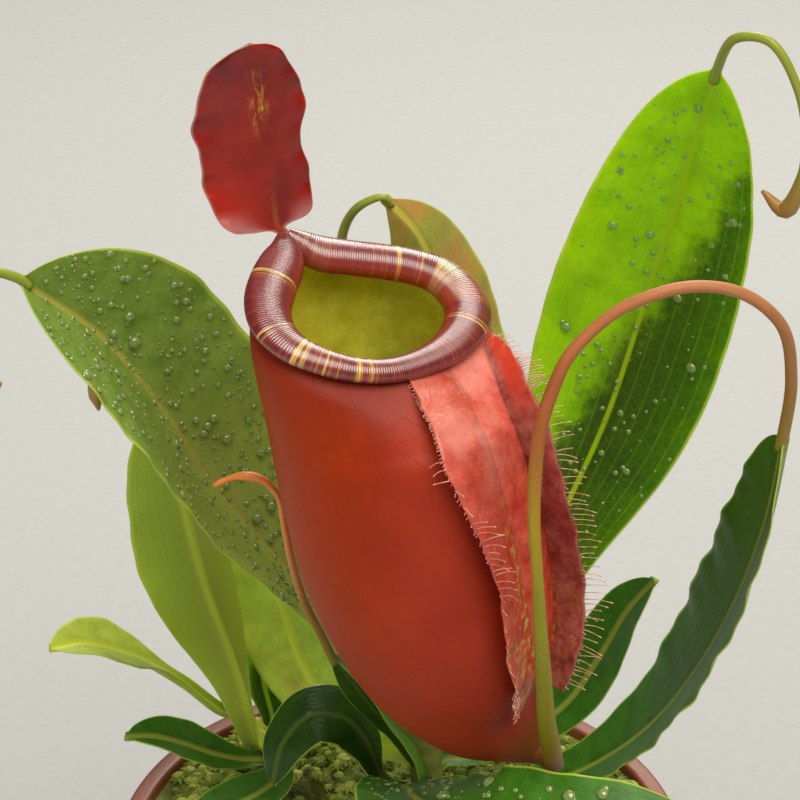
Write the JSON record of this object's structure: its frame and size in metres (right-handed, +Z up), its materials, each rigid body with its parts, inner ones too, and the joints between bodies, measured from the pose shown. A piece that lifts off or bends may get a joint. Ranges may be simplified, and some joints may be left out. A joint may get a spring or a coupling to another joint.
{
  "type": "potted nepenthes hybrid",
  "caption": "tropical pitcher plant in a round pot of moss, with one large open red pitcher under a raised lid, hanging from a looped tendril among strap-shaped leaves",
  "frame": {"origin": "centre of the pot's flat bottom", "axes": "+Z up along the pot's axis, -Y towards the big pitcher and the viewer, +X to the viewer's right"},
  "size_m": [0.2096, 0.1722, 0.3322],
  "materials": {
    "pot_plastic": "matte",
    "live_moss": "matte",
    "stem_tissue": "matte",
    "leaf_deep": "satin",
    "leaf_dark": "satin",
    "leaf_pale": "satin",
    "leaf_backlit": "satin",
    "leaf_flushed": "satin",
    "tendril_green": "satin",
    "tendril_orange": "satin",
    "cup_tissue": "satin",
    "lip_tissue": "gloss",
    "wing_tissue": "satin",
    "wing_shaded": "satin",
    "lid_tissue": "satin"
  },
  "bodies": {
    "root": {"pot": "pot_plastic", "growing_medium": "live_moss", "stem_main": "stem_tissue", "stem_side": "stem_tissue", "leaf_left": "leaf_deep", "leaf_back": "leaf_flushed", "leaf_right": "leaf_backlit", "leaf_carrier": "leaf_deep", "leaf_front": "leaf_deep", "leaf_behind": "leaf_pale", "leaf_aborted": "leaf_dark", "leaf_drooping": "leaf_dark", "leaf_low_right": "leaf_deep", "leaf_lower_left": "leaf_pale", "leaf_small_a": "leaf_deep", "leaf_small_b": "leaf_deep", "leaf_small_c": "leaf_backlit", "leaf_stalked": "leaf_pale", "leaf_spear": "leaf_pale", "tendril_left": "tendril_green", "tendril_back": "tendril_green", "tendril_right": "tendril_green", "tendril_front": "tendril_green", "tendril_lower_left": "tendril_green", "tendril_aborted": "tendril_orange", "tendril_main": "tendril_orange", "young_pitcher": "leaf_flushed", "pitcher_cup": "cup_tissue", "pitcher_lip": "lip_tissue", "wing_near": "wing_tissue", "wing_far": "wing_shaded", "pitcher_lid": "lid_tissue"}
  },
  "joints": []
}
